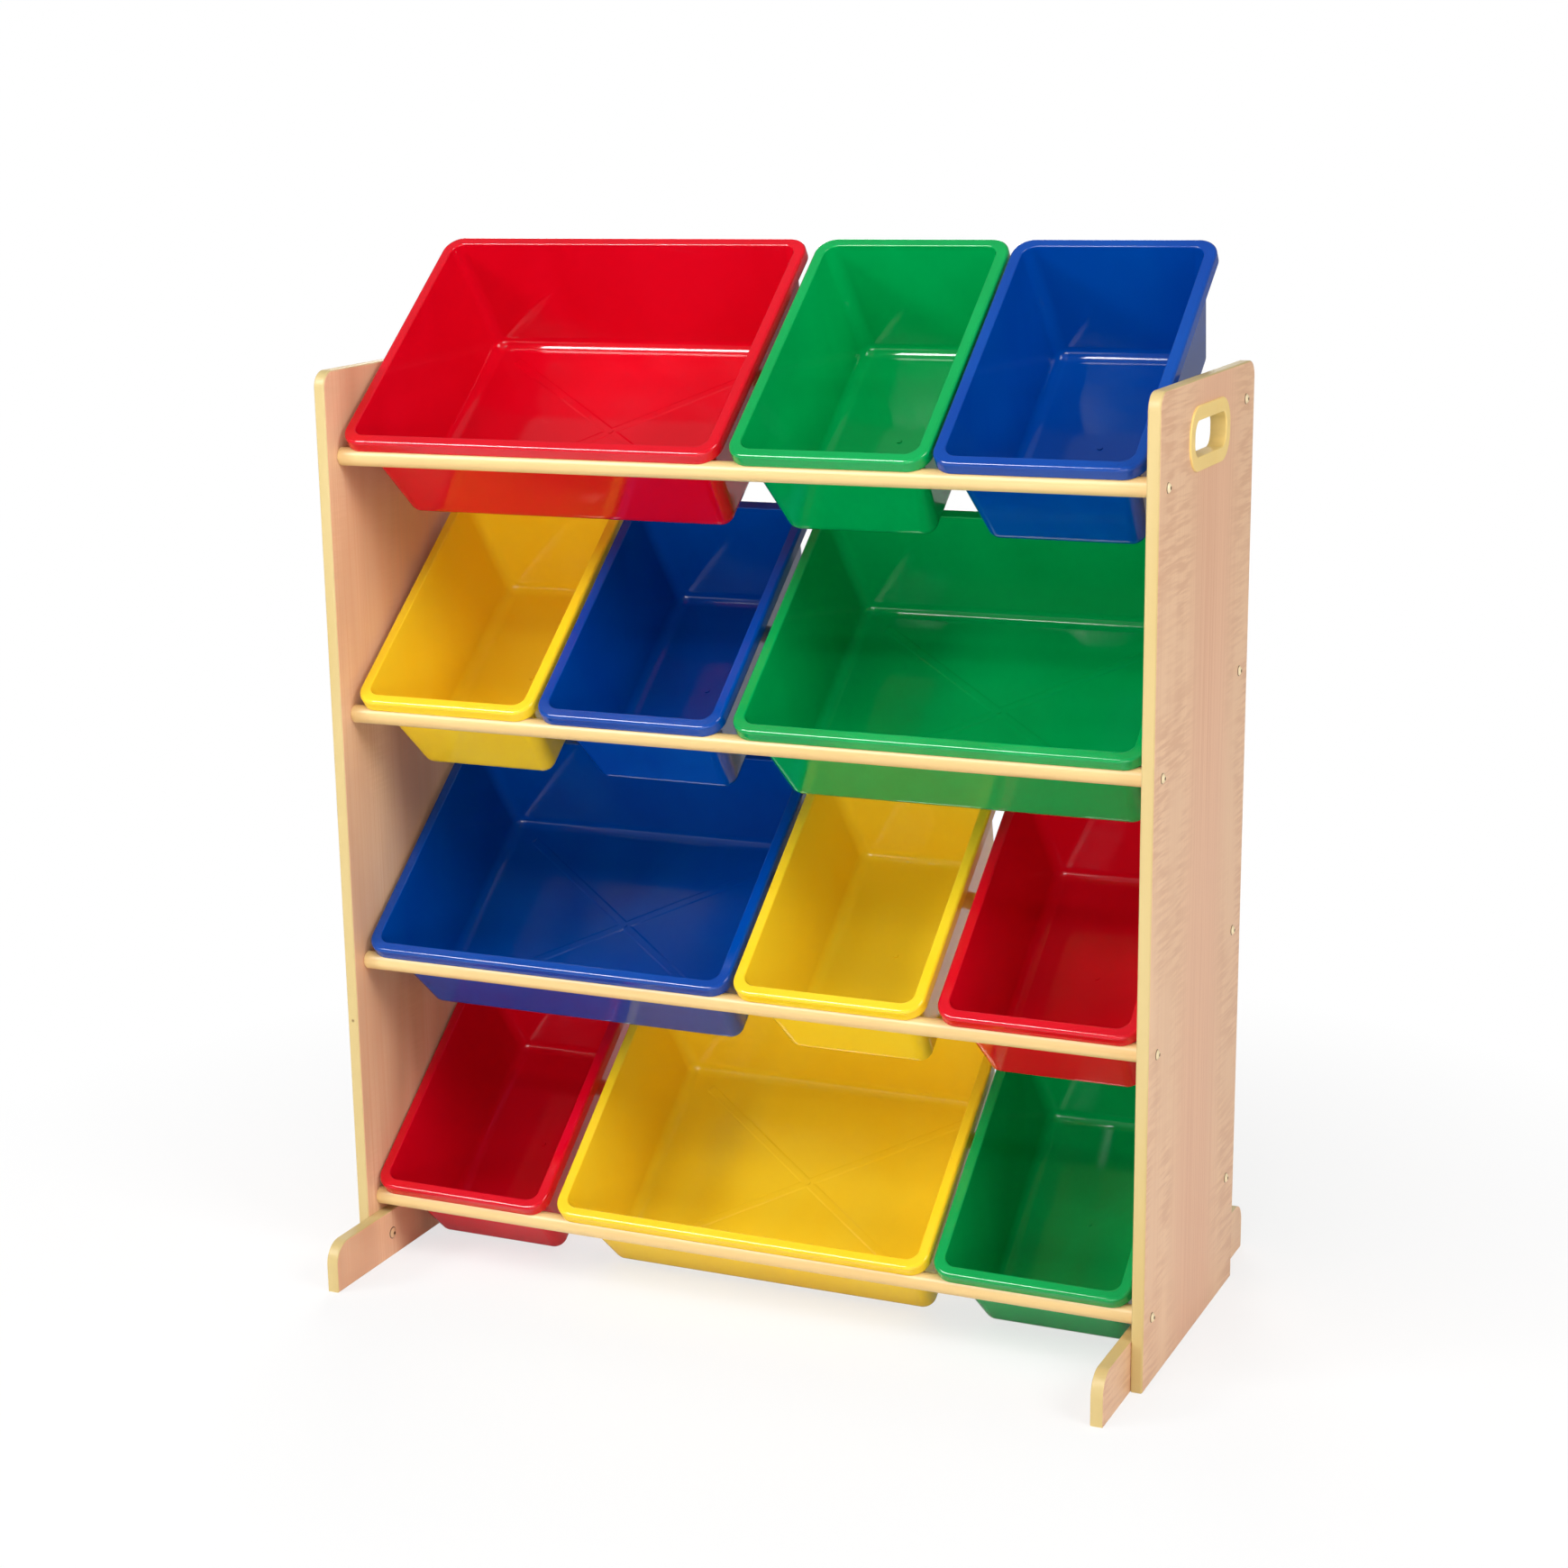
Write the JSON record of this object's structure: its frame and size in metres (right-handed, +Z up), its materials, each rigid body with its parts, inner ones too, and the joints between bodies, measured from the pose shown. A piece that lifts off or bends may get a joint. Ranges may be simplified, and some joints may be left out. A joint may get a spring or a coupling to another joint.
{
  "type": "toy storage organizer with bins",
  "caption": "Children's toy rack: two laminate side boards with hand holes, tiers of round rods, and tilted lift-out plastic tubs, single and double width, open to the front.",
  "frame": {"origin": "on the floor under the middle of the bounding box, between the two feet", "axes": "+X to the right seen from the front, +Y to the back, +Z up; the tub mouths face up and forward (-Y)"},
  "size_m": [0.8432, 0.464, 1.0251],
  "materials": {
    "side_board_laminate": "satin lacquered maple laminate, pale yellow edges",
    "foot_laminate": "satin lacquered maple laminate, pale yellow edges",
    "rod_wood": "satin lacquered pale hardwood",
    "rod_screw_metal": "cream painted screw",
    "foot_screw_metal": "tan painted screw",
    "grommet_plastic": "satin moulded plastic",
    "red_tub": "glossy moulded plastic, slightly translucent",
    "green_tub": "glossy moulded plastic, slightly translucent",
    "blue_tub": "glossy moulded plastic, slightly translucent",
    "yellow_tub": "glossy moulded plastic, slightly translucent"
  },
  "bodies": {
    "frame": {"front_rod_1": "rod_wood", "rear_rod_1": "rod_wood", "front_rod_2": "rod_wood", "rear_rod_2": "rod_wood", "front_rod_3": "rod_wood", "rear_rod_3": "rod_wood", "front_rod_4": "rod_wood", "rear_rod_4": "rod_wood", "left_side_board": "side_board_laminate", "left_foot": "foot_laminate", "left_hand_grommet": "grommet_plastic", "left_rod_screws": "rod_screw_metal", "left_foot_screws": "foot_screw_metal", "right_side_board": "side_board_laminate", "right_foot": "foot_laminate", "right_hand_grommet": "grommet_plastic", "right_rod_screws": "rod_screw_metal", "right_foot_screws": "foot_screw_metal"},
    "top_red_wide_bin": {"top_red_wide_bin": "red_tub"},
    "top_green_bin": {"top_green_bin": "green_tub"},
    "top_blue_bin": {"top_blue_bin": "blue_tub"},
    "second_yellow_bin": {"second_yellow_bin": "yellow_tub"},
    "second_blue_bin": {"second_blue_bin": "blue_tub"},
    "second_green_wide_bin": {"second_green_wide_bin": "green_tub"},
    "third_blue_wide_bin": {"third_blue_wide_bin": "blue_tub"},
    "third_yellow_bin": {"third_yellow_bin": "yellow_tub"},
    "third_red_bin": {"third_red_bin": "red_tub"},
    "bottom_red_bin": {"bottom_red_bin": "red_tub"},
    "bottom_yellow_wide_bin": {"bottom_yellow_wide_bin": "yellow_tub"},
    "bottom_green_bin": {"bottom_green_bin": "green_tub"}
  },
  "joints": [
    {"name": "top_red_wide_bin_lift", "type": "slide", "parent": "frame", "child": "top_red_wide_bin", "axis": [0, -0.6128, 0.7903], "range_m": [0, 0.13]},
    {"name": "top_green_bin_lift", "type": "slide", "parent": "frame", "child": "top_green_bin", "axis": [0, -0.6128, 0.7903], "range_m": [0, 0.13]},
    {"name": "top_blue_bin_lift", "type": "slide", "parent": "frame", "child": "top_blue_bin", "axis": [0, -0.6128, 0.7903], "range_m": [0, 0.13]},
    {"name": "second_yellow_bin_lift", "type": "slide", "parent": "frame", "child": "second_yellow_bin", "axis": [0, -0.6128, 0.7903], "range_m": [0, 0.072]},
    {"name": "second_blue_bin_lift", "type": "slide", "parent": "frame", "child": "second_blue_bin", "axis": [0, -0.6128, 0.7903], "range_m": [0, 0.072]},
    {"name": "second_green_wide_bin_lift", "type": "slide", "parent": "frame", "child": "second_green_wide_bin", "axis": [0, -0.6128, 0.7903], "range_m": [0, 0.072]},
    {"name": "third_blue_wide_bin_lift", "type": "slide", "parent": "frame", "child": "third_blue_wide_bin", "axis": [0, -0.6128, 0.7903], "range_m": [0, 0.072]},
    {"name": "third_yellow_bin_lift", "type": "slide", "parent": "frame", "child": "third_yellow_bin", "axis": [0, -0.6128, 0.7903], "range_m": [0, 0.072]},
    {"name": "third_red_bin_lift", "type": "slide", "parent": "frame", "child": "third_red_bin", "axis": [0, -0.6128, 0.7903], "range_m": [0, 0.072]},
    {"name": "bottom_red_bin_lift", "type": "slide", "parent": "frame", "child": "bottom_red_bin", "axis": [0, -0.6128, 0.7903], "range_m": [0, 0.072]},
    {"name": "bottom_yellow_wide_bin_lift", "type": "slide", "parent": "frame", "child": "bottom_yellow_wide_bin", "axis": [0, -0.6128, 0.7903], "range_m": [0, 0.072]},
    {"name": "bottom_green_bin_lift", "type": "slide", "parent": "frame", "child": "bottom_green_bin", "axis": [0, -0.6128, 0.7903], "range_m": [0, 0.072]}
  ]
}
